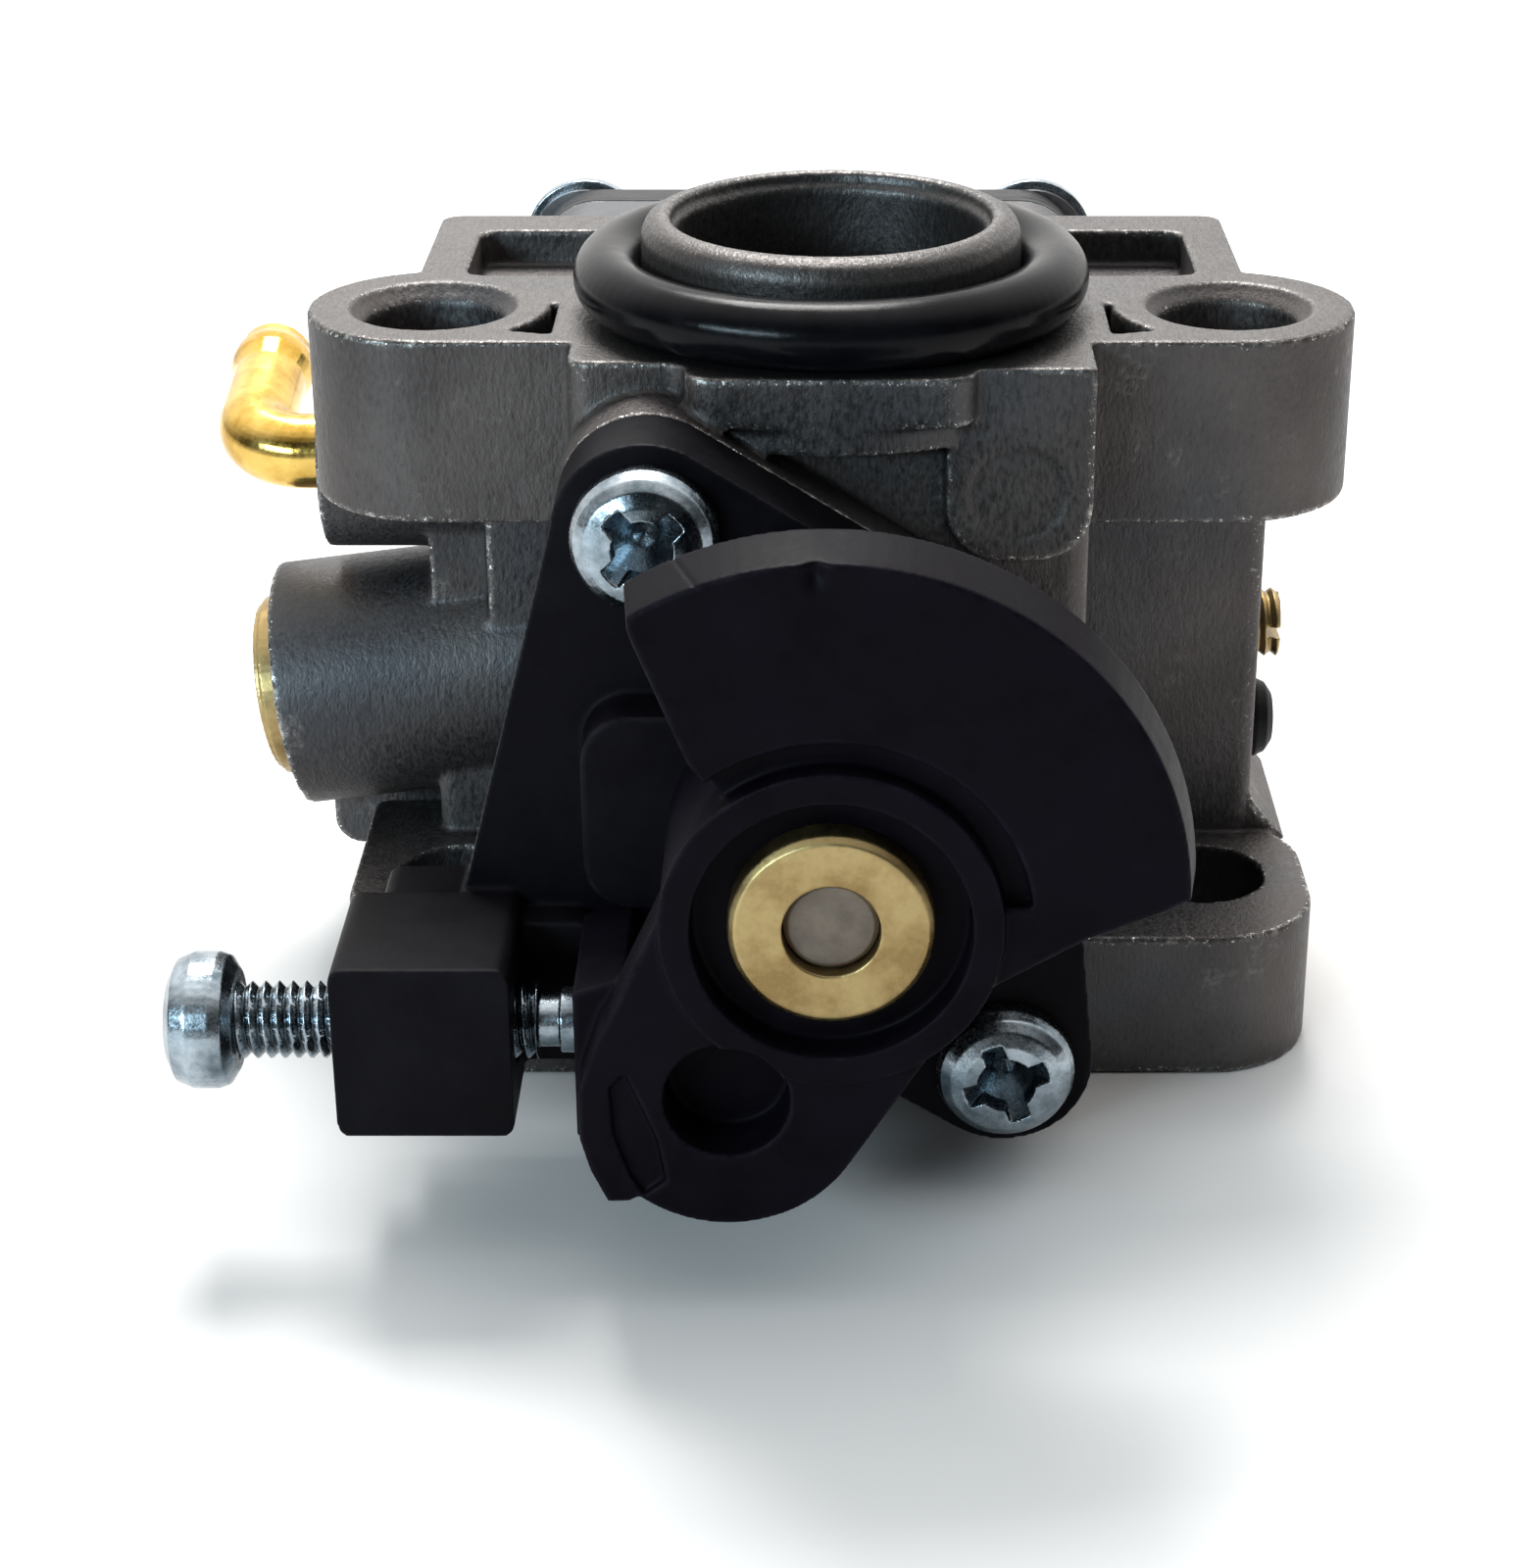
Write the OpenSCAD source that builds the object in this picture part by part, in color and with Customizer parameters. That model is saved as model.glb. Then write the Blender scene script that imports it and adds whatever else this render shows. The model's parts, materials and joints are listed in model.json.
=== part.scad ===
// Rotary-barrel diaphragm carburetor for a small engine, built as separate parts.
// Units are millimetres. The origin is the centre of the air bore, on the face of the lower
// flange. +Z runs up the bore to the engine collar, and -Y is the side of the throttle lever.

/* [Studs and flanges] */
// Distance between the two mounting studs
stud_pitch = 31; // [30.5:0.1:32]
// Radius of each stud hole
stud_hole_r = 2.7; // [2.6:0.05:2.8]
// Height from the lower flange's face to the upper flange's face
body_h = 31; // [30.8:0.1:31.5]
// Radius of the ears on the upper flange
ear_r = 4.9; // [4.6:0.1:5]
// Thickness of the upper ears
ear_h = 7.3; // [6.5:0.1:8]
// Thickness of the lower flange
foot_h = 6.3; // [5:0.1:6.4]

/* [Air passage] */
// Radius of the venturi through the throttle barrel
venturi_r = 5; // [4.6:0.1:5.2]
// Radius of the bore in the engine collar
engine_bore_r = 5.95; // [5.8:0.05:6.1]
// Radius of the bore in the lower flange
air_bore_r = 5.6; // [5.3:0.1:5.8]
// Outer radius of the engine collar
collar_r = 7.35; // [7.1:0.05:7.5]
// Height of the engine collar above the upper flange
collar_h = 3.7; // [3.5:0.1:3.8]

/* [Throttle] */
// Height of the barrel's axis above the lower flange's face
barrel_z = 15.6; // [15.4:0.1:15.8]
// Radius of the throttle barrel
barrel_r = 7.85; // [7.7:0.05:7.9]
// Angle that the barrel turns from idle to wide open
throttle_angle = 75; // [60:1:78]
// Distance that the barrel lifts from idle to wide open
throttle_lift = 1.5; // [1:0.1:1.6]
// Radius of the barrel's shaft
shaft_r = 4.2; // [4:0.1:4.3]
// Radius of the cable sector about its own centre
lever_r = 12.7; // [12.3:0.05:12.9]
// Thickness of the lever's plate
lever_t = 2.5; // [2:0.1:2.8]

/* [Throttle cover] */
// Thickness of the throttle cover
cover_t = 3.5; // [3.3:0.1:3.8]
// Sideways offset of each cover screw from the barrel's axis
cover_screw_x = 6.68; // [6.5:0.02:6.8]
// Height offset of each cover screw from the barrel's axis
cover_screw_z = 10.84; // [10.6:0.02:11]
// Radius of the cover screws' heads
cover_head_r = 2.68; // [2.4:0.02:2.8]

/* [Idle speed screw] */
// Thread radius of the idle speed screw
idle_thread_r = 1.45; // [1.4:0.01:1.5]
// Height of the idle screw's axis above the lower flange's face
idle_z = 8.8; // [8.6:0.1:9]

/* [Diaphragm stack] */
// Width of the gaskets, plates and covers on the back
stack_w = 24; // [23.5:0.1:24.5]
// Thickness of the metering body
metering_t = 5; // [4.8:0.1:5.2]
// Radius of the metering chamber
chamber_r = 8.2; // [7.8:0.1:8.3]

/* [Hidden] */
$fn = 64;
eps = 0.5;              // overshoot of a cutting tool
fit = 0.03;             // gap around a piece fixed in its hole
run = 0.05;             // radial gap of a running fit

stud_x = stud_pitch / 2;
collar_top = body_h + collar_h;

// Casting
cover_face_y = -10;     // face that the throttle cover is screwed to
pump_face_y = 13.6;     // face that the diaphragm stack is screwed to
panel_y = 4;            // front of the rear block
core_x = 9.8;
core_y = -7.5;
block_x0 = -16.9;
step_x = -14.4;         // the rear block's front is set back to the left of this
step_y = 5;
foot_back_y = 7.4;      // the lower flange reaches this far back on its left
block_x1 = 18.1;
frame_x = 16.6;
foot_x = 20;
pocket_depth = 1.5;
cavity_r = barrel_r + run;
cavity_back_y = 8.4;
cover_boss_r = 9;
lug_r = 3.4;
boss_tilt = 7.4;        // tilt of the big side boss
boss_r = 5.3;
boss_end = [-23.4, 8.3, 11.5];
boss_plug_r = 3.9;
side_plug_y = 8.5;        // threaded plug and rubber cap on the right face
passage_z = 14.3;
cap_z = 9.8;
inlet_y = 8.2;
inlet_z = 22.2;
inlet_x = -21.3;
stem_r = 1.6;           // fuel elbow's tube
bead_r = 1.8;
stem_bore_r = 1;
elbow_tilt = 11;

// Main nozzle
nozzle_r = 1.6;
nozzle_bore_r = 0.85;
nozzle_flange_r = 2.3;

// Throttle group, from front to back
hub_r = 6;
hub_rim_r = 4.9;
hub_front_y = -23.6;
lever_front_y = -23.3;
lever_back_y = lever_front_y + lever_t;
hub_floor_y = -22.2;
shaft_front_y = -20.5;
hub_back_y = -16;
barrel_front_y = -6;
barrel_back_y = 8.2;
barrel_bore_y = throttle_lift;
arm_x = -3.7;
arm_v = -6.8;
arm_r = 5.08;
swivel_r = 2.25;
swivel_depth = 2.3;
arm_back_y = -19.6;
sector_at = [-0.15, 0.93]; // centre of the cable sector

// Throttle cover, from front to back
cover_front_y = cover_face_y - cover_t;
cover_inner_y = -12.3;
shaft_boss_y = -15.5;
seal_r = 5.5;
seal_y = -14.5;
bracket_x0 = -18.1;
bracket_x1 = -11.6;
bracket_y = -20;
bracket_back_y = -13.6;
bracket_half = 3.45;
idle_y = -17.3;

// Diaphragm stack, from front to back
stack_x = -1;
stack_z0 = 1.5;
stack_z1 = 30.2;
stack_z = (stack_z0 + stack_z1) / 2;
stack_screw_x = 10.1;
stack_screw_z = 11.85;
back_head_r = 2.75;
pump_gasket_y = pump_face_y;
pump_diaphragm_y = pump_gasket_y + 0.3;
metering_y = pump_diaphragm_y + 0.2;
gasket_y = metering_y + metering_t;
membrane_y = gasket_y + 0.3;
back_cover_y = membrane_y + 0.2;
back_cover_t = 1.6;
back_y = back_cover_y + back_cover_t;
washer_t = 0.4;
chamber_y = gasket_y - 2.4;
chamber_z = stack_z;
lever_pin_y = chamber_y + 0.7;
lever_pin_z = chamber_z - 3.6;
lever_pin_r = 0.5;
needle_z = lever_pin_z - 2.8;
tip_z = lever_pin_z + 4.4;
pocket_y = lever_pin_y - 1.3;
valve_x = 4.8;

// ---------- helpers ----------

// Cylinder along Y from y0 to y1
module rod_y(y0, y1, r) {
    translate([0, y1, 0]) rotate([90, 0, 0]) cylinder(h = y1 - y0, r = r);
}

// Cylinder along X from x0 to x1
module rod_x(x0, x1, r) {
    translate([x0, 0, 0]) rotate([0, 90, 0]) cylinder(h = x1 - x0, r = r);
}

// Outline drawn in X and Z, made solid from y0 to y1
module slab_y(y0, y1) {
    translate([0, y1, 0]) rotate([90, 0, 0]) linear_extrude(y1 - y0) children();
}

// Profile of (radius, distance) turned about an axis that points to -Y
module turned_y(y) {
    translate([0, y, 0]) rotate([90, 0, 0]) rotate_extrude() children();
}

// Rectangle between two corners with round corners of radius r
module round_rect(x0, z0, x1, z1, r) {
    translate([x0 + r, z0]) square([x1 - x0 - 2 * r, z1 - z0]);
    translate([x0, z0 + r]) square([x1 - x0, z1 - z0 - 2 * r]);
    for (x = [x0 + r, x1 - r], z = [z0 + r, z1 - r])
        translate([x, z]) circle(r);
}

function on_circle(c, r, a) = [c[0] + r * cos(a), c[1] + r * sin(a)];

// Two circles and the straight strap that touches both
module strap(p, rp, q, rq) {
    d = norm(q - p);
    a = atan2(q[1] - p[1], q[0] - p[0]);
    b = acos((rp - rq) / d);
    translate(p) circle(rp);
    translate(q) circle(rq);
    polygon([on_circle(p, rp, a + b), on_circle(q, rq, a + b),
             on_circle(q, rq, a - b), on_circle(p, rp, a - b)]);
}

// Points of one round section of a coil, at an angle along its helix
function coil_ring(r, wire, pitch, a, sides) = [
    for (i = [0 : sides - 1])
        let (s = 360 * i / sides, q = r + wire * cos(s))
            [q * cos(a), q * sin(a), pitch * a / 360 + wire * sin(s)]
];

// Open coil along +Z with its first wire centre at z = 0
module coil(r, wire, turns, pitch, steps = 20, sides = 8) {
    rings = floor(turns * steps);
    points = [for (k = [0 : rings]) each coil_ring(r, wire, pitch, 360 * k / steps, sides)];
    skin = [
        for (k = [0 : rings - 1], i = [0 : sides - 1])
            let (j = (i + 1) % sides, p = k * sides, n = p + sides)
                each [[p + i, n + i, n + j], [p + i, n + j, p + j]]
    ];
    first_cap = [for (i = [0 : sides - 1]) i];
    last_cap = [for (i = [sides - 1 : -1 : 0]) rings * sides + i];
    polyhedron(points, concat(skin, [first_cap, last_cap]));
}

module at_barrel() {
    translate([0, 0, barrel_z]) children();
}

module at_cover_screws() {
    for (s = [-1, 1])
        translate([s * cover_screw_x, 0, barrel_z - s * cover_screw_z]) children();
}

module at_stack_screws() {
    for (sx = [-1, 1], sz = [-1, 1])
        translate([stack_x + sx * stack_screw_x, 0, stack_z + sz * stack_screw_z]) children();
}

module stack_outline() {
    half = stack_w / 2;
    round_rect(stack_x - half, stack_z0, stack_x + half, stack_z1, 2.6);
}

// Flat layer of the stack with its four screw holes
module stack_layer(y, t) {
    difference() {
        slab_y(y, y + t) stack_outline();
        at_stack_screws() rod_y(y - eps, y + t + eps, 1.42);
    }
}

// ---------- casting ----------

module upper_ears() {
    translate([0, 0, body_h - ear_h]) linear_extrude(ear_h) {
        for (s = [-1, 1]) translate([s * stud_x, 0]) circle(ear_r);
        translate([-stud_x, -ear_r]) square([2 * stud_x, 2 * ear_r]);
    }
}

module foot() {
    linear_extrude(foot_h) {
        round_rect(-foot_x, -6, foot_x, 5.6, 4.4);
        round_rect(-foot_x - 0.1, -2.5, -core_x, foot_back_y, 0.8);
    }
}

// Sloped web that joins the rear block's right side to the foot, low under the rubber cap
module foot_web() {
    web = [[-0.5, foot_h - 0.5], [1.7, foot_h - 0.5], [0.7, foot_h + 0.6], [0, foot_h + 1.6],
           [-0.5, foot_h + 1.6]];
    translate([block_x1, 0, 0]) slab_y(panel_y + 0.1, pump_face_y - 1) polygon(web);
}

module core() {
    linear_extrude(body_h) round_rect(-core_x, core_y, core_x, pump_face_y, 0.8);
    // pad in the middle of the front
    translate([0, 0, body_h - 2]) linear_extrude(2) round_rect(-5.4, -9.5, 5.35, 0, 1.2);
    // lug to the right of the pad
    slab_y(-8.3, core_y + eps) {
        round_rect(4.3, body_h - 7.55, core_x, body_h - 1.5, 2.1);
        translate([4.3, body_h - 5.5]) square([core_x - 4.3, 5.5]);
    }
    // seat of the throttle cover
    at_barrel() rod_y(cover_face_y, 0, cover_boss_r);
    at_cover_screws() rod_y(cover_face_y, core_y + eps, lug_r);
    translate([0, 0, barrel_z]) slab_y(cover_face_y, core_y + eps) {
        strap([-cover_screw_x, cover_screw_z], lug_r, [0, 0], cover_boss_r);
        strap([cover_screw_x, -cover_screw_z], lug_r, [0, 0], cover_boss_r);
    }
}

module rear_block() {
    difference() {
        union() {
            linear_extrude(body_h - ear_h - 0.4)
                round_rect(block_x0, panel_y, block_x1, pump_face_y, 0.6);
            linear_extrude(body_h) round_rect(-frame_x, panel_y, frame_x, pump_face_y, 0.8);
        }
        // the front is set back between the big boss and the upper flange
        translate([block_x0 - 1, panel_y - 1, boss_end[2]])
            cube([step_x - block_x0 + 1, step_y - panel_y + 1, body_h - ear_h - boss_end[2]]);
    }
    // small lug low on the left
    slab_y(8.5, pump_face_y) round_rect(-22.2, 3.6, -16, 6.9, 1.2);
}

module side_bosses() {
    translate(boss_end) rotate([0, -boss_tilt, 0]) rod_x(0, 12, boss_r);
    translate([0, inlet_y, inlet_z]) rod_x(inlet_x, -14, 4);
}

module collar() {
    // pedestal of the O-ring, with a shallow ring cut around it
    translate([0, 0, body_h - 3]) cylinder(h = 3, r = collar_r + 2.2);
    translate([0, 0, body_h - 1]) rotate_extrude()
        polygon([[5, 0], [collar_r, 0], [collar_r, collar_h + 0.3], [collar_r - 0.22, collar_h + 0.78],
                 [collar_r - 0.7, collar_h + 1], [5, collar_h + 1]]);
}

// Triangular relief between a stud hole and the centre
module ear_relief() {
    translate([0, 0, body_h - 3.2]) linear_extrude(3.2 + eps) difference() {
        polygon([[-12.8, -3.15], [-10.65, -3.77], [-10.65, 0.35], [-12.8, 0.35]]);
        translate([-stud_x, 0]) circle(4.55);
    }
}

module top_pocket() {
    translate([0, 0, body_h - pocket_depth]) linear_extrude(pocket_depth + eps) difference() {
        round_rect(-14.7, 4.3, 14.7, 11, 0.8);
        circle(10.2);
        for (s = [-1, 1]) translate([s * stud_x, 0]) circle(4.6);
    }
}

module air_passage() {
    translate([0, 0, -eps]) cylinder(h = 6.5 + eps, r = air_bore_r);
    translate([0, 0, 0]) cylinder(h = collar_top, r = venturi_r);
    translate([0, 0, 24.6]) cylinder(h = 20, r = engine_bore_r);
    translate([0, 0, collar_top - 0.55]) cylinder(h = 1, r = engine_bore_r + 0.25);
}

module casting_holes() {
    for (s = [-1, 1])
        translate([s * stud_x, 0, -eps]) cylinder(h = body_h + 2 * eps, r = stud_hole_r);
    // widened mouths on the engine's side
    for (s = [-1, 1]) translate([s * stud_x, 0, body_h]) {
        translate([0, 0, -0.15]) cylinder(h = eps, r = stud_hole_r + 0.54);
        translate([0, 0, -0.65]) cylinder(h = 0.51, r1 = stud_hole_r, r2 = stud_hole_r + 0.54);
    }
    at_barrel() {
        rod_y(cover_face_y - eps, cavity_back_y, cavity_r);
        rod_y(cavity_back_y - eps, 11, nozzle_r + fit);
        rod_y(10.6, pump_face_y + eps, nozzle_flange_r + fit);
    }
    at_cover_screws() rod_y(cover_face_y - eps, -4.6, 1.25 + fit);
    at_stack_screws() rod_y(8, pump_face_y + eps, 1.3 + fit);
    // fuel inlet and its screen
    translate([0, inlet_y, inlet_z]) rod_x(inlet_x - eps, -15.4, stem_r + fit);
    translate([0, inlet_y, inlet_z]) rod_x(-16, -8.8, 0.9);
    translate([-9.6, 0, inlet_z]) rod_y(inlet_y - 0.8, pump_face_y + eps, 0.8);
    translate([-9.6, 0, inlet_z]) rod_y(pump_face_y - 0.6, pump_face_y + eps, 2.3);
    // pump pulse pocket
    translate([3.6, 0, 23]) rod_y(pump_face_y - 1.2, pump_face_y + eps, 3);
    // side plugs
    translate(boss_end) rotate([0, -boss_tilt, 0]) rod_x(-eps, 3.4, boss_plug_r + fit);
    translate([0, side_plug_y, passage_z]) rod_x(block_x1 - 4, block_x1 + eps, 1.5 + fit);
    translate([0, side_plug_y, cap_z]) rod_x(block_x1 - 3, block_x1 + eps, 1.1 + fit);
    // round mark of an ejector pin
    translate([6.95, 0, body_h - 4.9]) rod_y(-8.3 - eps, -8.2, 1.9);
}

module body_casting() {
    color("dimgray") difference() {
        union() {
            upper_ears();
            foot();
            foot_web();
            core();
            rear_block();
            side_bosses();
            collar();
        }
        air_passage();
        casting_holes();
        ear_relief();
        mirror([1, 0, 0]) ear_relief();
        top_pocket();
    }
}

module intake_o_ring() {
    wire = 1.32;
    color("black") translate([0, 0, body_h + wire + 0.02]) rotate_extrude()
        translate([collar_r + wire + 0.01, 0]) circle(wire);
}

module main_nozzle() {
    color("gold") at_barrel() difference() {
        union() {
            rod_y(1, 11, nozzle_r);
            rod_y(10.6, 11.8, nozzle_flange_r);
        }
        rod_y(0, 12.5, nozzle_bore_r);
    }
}

module main_jet() {
    color("goldenrod") at_barrel() difference() {
        rod_y(11.8, 13.4, nozzle_flange_r);
        rod_y(11, 14, 0.35);
        rod_y(12.6, 14, 1.1);
    }
}

// Hollow elbow: in along X, round a bend, then back and slightly up to a beaded end
module fuel_inlet_elbow() {
    bend = 2.4;
    bend_x = -22.3;
    tail = 6.2;
    bead_l = 2.6;
    color("gold") translate([0, inlet_y, inlet_z]) rotate([elbow_tilt, 0, 0]) difference() {
        union() {
            rod_x(bend_x, -15.6, stem_r);
            translate([bend_x, bend, 0]) rotate([0, 0, 180])
                rotate_extrude(angle = 90) translate([bend, 0]) circle(stem_r);
            translate([bend_x - bend, bend, 0]) {
                rod_y(0, tail, stem_r);
                rotate([-90, 0, 0]) translate([0, 0, tail - bead_l]) rotate_extrude()
                    polygon([[0, 0], [stem_r, 0], [bead_r, 0.9], [bead_r, 1.5], [1.45, bead_l],
                             [0, bead_l]]);
            }
        }
        rod_x(bend_x, -15, stem_bore_r);
        translate([bend_x, bend, 0]) rotate([0, 0, 180])
            rotate_extrude(angle = 90) translate([bend, 0]) circle(stem_bore_r);
        translate([bend_x - bend, bend, 0]) rod_y(0, tail + eps, stem_bore_r);
    }
}

module inlet_screen() {
    color("silver") translate([-9.6, 0, inlet_z]) difference() {
        rod_y(pump_face_y - 0.55, pump_face_y - 0.25, 2.25);
        for (x = [-1.2 : 0.6 : 1.2], z = [-1.2 : 0.6 : 1.2])
            translate([x, 0, z]) rod_y(pump_face_y - 1, pump_face_y, 0.18, $fn = 16);
    }
}

module boss_plug() {
    color("gold") translate(boss_end) rotate([0, -boss_tilt, 0]) union() {
        rod_x(-0.8, 3, boss_plug_r);
        rod_x(-1.05, -0.8, boss_plug_r - 0.25);
    }
}

module passage_plug() {
    color("gold") translate([0, side_plug_y, passage_z]) difference() {
        rod_x(block_x1 - 3.6, block_x1 + 1.3, 1.5);
        translate([block_x1 + 0.7, -2, -0.25]) cube([1, 4, 0.5]);
    }
}

module rubber_cap() {
    color("black") translate([block_x1, side_plug_y, cap_z]) {
        rod_x(-2.8, 0.2, 1.1);
        rotate([0, 90, 0]) rotate_extrude()
            polygon([[0, 0.02], [1.75, 0.02], [1.75, 0.5], [1.55, 0.95], [1.1, 1.25], [0, 1.4]]);
    }
}

// ---------- throttle cover ----------

module cover_outline() {
    strap([-cover_screw_x, cover_screw_z], lug_r, [0, 0], cover_boss_r);
    strap([cover_screw_x, -cover_screw_z], lug_r, [0, 0], cover_boss_r);
    // web down to the bracket of the idle screw
    polygon([[-10, 11.4], [-13.95, -3.9], [-13.95, -10], [-8.5, -10.2], [1.5, -11.3],
             [4.6, -13.2], [6, 0], [0, 6]]);
}

module throttle_cover() {
    color("#1d1b22") difference() {
        union() {
            at_barrel() {
                slab_y(cover_front_y, cover_face_y) cover_outline();
                rod_y(shaft_boss_y, cover_front_y + eps, 6.4);
                // pad beside the shaft that the lever passes over
                slab_y(-15.8, cover_front_y + eps) difference() {
                    round_rect(-9.1, -3, -2, 4.7, 1.8);
                    circle(5);
                }
            }
            // bracket of the idle speed screw
            slab_y(bracket_y, bracket_back_y)
                round_rect(bracket_x0, idle_z - bracket_half, bracket_x1, idle_z + bracket_half, 0.5);
            slab_y(-15, cover_face_y)
                round_rect(bracket_x0 + 1, idle_z - bracket_half + 0.4, -9, idle_z + 2.8, 0.5);
        }
        at_barrel() {
            rod_y(cover_inner_y, cover_face_y + eps, cavity_r + run);
            rod_y(-30, 0, shaft_r + run);
            rod_y(shaft_boss_y - eps, seal_y, seal_r);
        }
        at_cover_screws() rod_y(-30, 0, 1.5);
        translate([0, idle_y, idle_z]) rod_x(-30, -5, idle_thread_r + run);
    }
}

// Pan head with a deep cross recess turned by an angle, and a plain shank
module cross_screw(head_r, head_h, shank_r, shank_l, turn) {
    difference() {
        union() {
            rotate([90, 0, 0]) rotate_extrude()
                polygon([[0, 0], [head_r, 0], [head_r, 0.35 * head_h],
                         [0.93 * head_r, 0.62 * head_h], [0.8 * head_r, 0.82 * head_h],
                         [0.6 * head_r, 0.94 * head_h], [0.3 * head_r, head_h], [0, head_h]]);
            rod_y(-eps, shank_l, shank_r);
        }
        intersection() {
            turned_y(0) polygon([[0, -0.4], [0.5, -0.1], [2, head_h + 0.3], [0, head_h + 0.3]]);
            rotate([0, turn, 0]) slab_y(-head_h - 0.3, 0.4) {
                circle(1.12);
                square([4, 0.86], center = true);
                square([0.86, 4], center = true);
            }
        }
    }
}

module throttle_cover_screws() {
    turns = [-42, -21];     // how far each cross is turned
    color("lightsteelblue") for (i = [0, 1])
        translate([(2 * i - 1) * cover_screw_x, cover_front_y,
                   barrel_z - (2 * i - 1) * cover_screw_z])
            cross_screw(cover_head_r, 1.8, 1.25, 8.5, turns[i]);
}

module dust_seal() {
    color("dimgray") at_barrel() difference() {
        rod_y(shaft_boss_y + 0.1, seal_y, seal_r - fit);
        rod_y(-30, 0, shaft_r + run);
    }
}

module idle_speed_screw() {
    head_x = -22.2;
    tip_x = -9.35;
    color("lightsteelblue") translate([0, idle_y, idle_z]) difference() {
        union() {
            translate([head_x, 0, 0]) rotate([0, -90, 0]) rotate_extrude()
                polygon([[0, -0.3], [1.9, -0.3], [2.4, 0], [2.55, 0.4], [2.55, 1.3], [2.3, 1.9],
                         [1.7, 2.2], [0.8, 2.35], [0, 2.4]]);
            rod_x(head_x - 0.2, -10.8, idle_thread_r);
            rod_x(-11, tip_x, 1);
            rod_x(tip_x - 0.6, tip_x, 1.22);
        }
        // cross recess
        for (a = [45, 135])
            rotate([a, 0, 0]) translate([head_x - 3, -1.5, -0.3]) cube([1.9, 3, 0.6]);
    }
}

// ---------- throttle group ----------

module thrust_washer() {
    color("silver") at_barrel() difference() {
        rod_y(barrel_front_y - 0.8, barrel_front_y - 0.1, 7.5);
        rod_y(-20, 0, shaft_r + 0.4);
    }
}

module return_spring() {
    wire = 0.4;
    y_back = barrel_front_y - 0.8 - wire - 0.1;
    turns = 3;
    pitch = (y_back - cover_inner_y - wire - 0.1) / turns;
    color("gray") at_barrel() translate([0, y_back, 0]) rotate([90, 0, 0])
        coil(6, wire, turns, pitch, 24);
}

module throttle_barrel() {
    color("silver") at_barrel() difference() {
        union() {
            rod_y(barrel_front_y, barrel_back_y, barrel_r);
            rod_y(shaft_front_y, barrel_front_y + eps, shaft_r);
        }
        // air bore, square to Z only when the throttle is wide open
        translate([0, barrel_bore_y, 0]) rotate([0, throttle_angle, 0])
            translate([0, 0, -20]) cylinder(h = 40, r = venturi_r);
        rod_y(5, barrel_back_y + eps, nozzle_r + 0.35);
        rod_y(shaft_front_y - eps, -16.4, 2.35);
        rod_y(-17, 0, 0.9);
    }
}

// Outline of the lever about the barrel's axis
module lever_outline() {
    // sector that takes the cable's pull
    intersection() {
        translate(sector_at) circle(lever_r);
        polygon([[0, 0], [-4.85, 6.2], [-6.85, 11.2], [-7.5, 20], [20, 20], [20, 5],
                 [12.9, 1.25], [8.86, -0.4], [5.4, -2.4]]);
    }
    circle(hub_r);
    strap([0, 0], hub_r - 0.4, [arm_x, arm_v], arm_r);
    // stop pad
    polygon([[-5.6, -0.6], [-8.2, -4.2], [-8.95, -6.4], [-8.95, -8.4], [-8.6, -9.7], [-8, -11],
             [-7.2, -10.95], [-6.9, -10.75], [-4, -9]]);
}

module throttle_lever() {
    color("#15131a") at_barrel() difference() {
        union() {
            slab_y(lever_front_y, lever_back_y) lever_outline();
            rod_y(hub_front_y, hub_back_y, hub_r);
            // thicker arm, so that the swivel's hole is blind
            slab_y(lever_back_y - eps, arm_back_y) strap([0, 0], 5, [arm_x, arm_v], 4.6);
            // stop that rests on the idle screw
            slab_y(lever_back_y - eps, -15)
                polygon([[-9.2, -3.6], [-9.2, -9.4], [-7.4, -10.6], [-6.4, -9], [-6.4, -4.2],
                         [-7.4, -3]]);
        }
        rod_y(hub_front_y - eps, hub_floor_y, hub_rim_r);
        rod_y(-30, hub_back_y + eps, 2.35);
        rod_y(shaft_front_y, hub_back_y + eps, shaft_r + fit);
        // groove in the sector around the upper half of the hub
        difference() {
            rod_y(lever_front_y - eps, lever_front_y + 0.7, hub_r + 1);
            rod_y(-30, 0, hub_r);
            translate([-15, -30, -14.2]) cube([30, 40, 15]);
        }
        // hole for the cable's swivel
        translate([arm_x, 0, arm_v]) rod_y(-30, lever_front_y + swivel_depth, swivel_r);
        // shallow step beside the stop pad
        slab_y(lever_front_y - eps, lever_front_y + 0.3)
            polygon([[-7.85, -6.3], [-7.75, -8.2], [-7.2, -9.9], [-6.7, -10.7], [-5.9, -10.1],
                     [-6.2, -8.4], [-6.9, -6.6], [-7.3, -5.7]]);
    }
}

module needle_sleeve() {
    color("gold") at_barrel() difference() {
        union() {
            turned_y(hub_floor_y)
                polygon([[0, 0], [3.6, 0], [3.6, 1.05], [3.35, 1.3], [0, 1.3]]);
            rod_y(hub_floor_y - eps, -16.5, 2.3);
        }
        rod_y(-30, -17.4, 1.72);
        rod_y(-18, 0, 0.85);
    }
}

module metering_needle() {
    color("goldenrod") at_barrel() {
        rod_y(-22, -21.2, 1.6);
        rod_y(-21.5, 3, 0.8);
        turned_y(6.2) polygon([[0, 0], [0.4, 0], [0.8, 3.3], [0, 3.3]]);
    }
}

module needle_spring() {
    color("gray") at_barrel() translate([0, -17.8, 0]) rotate([90, 0, 0])
        coil(1.25, 0.22, 5, 0.62, 16, 6);
}

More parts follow.
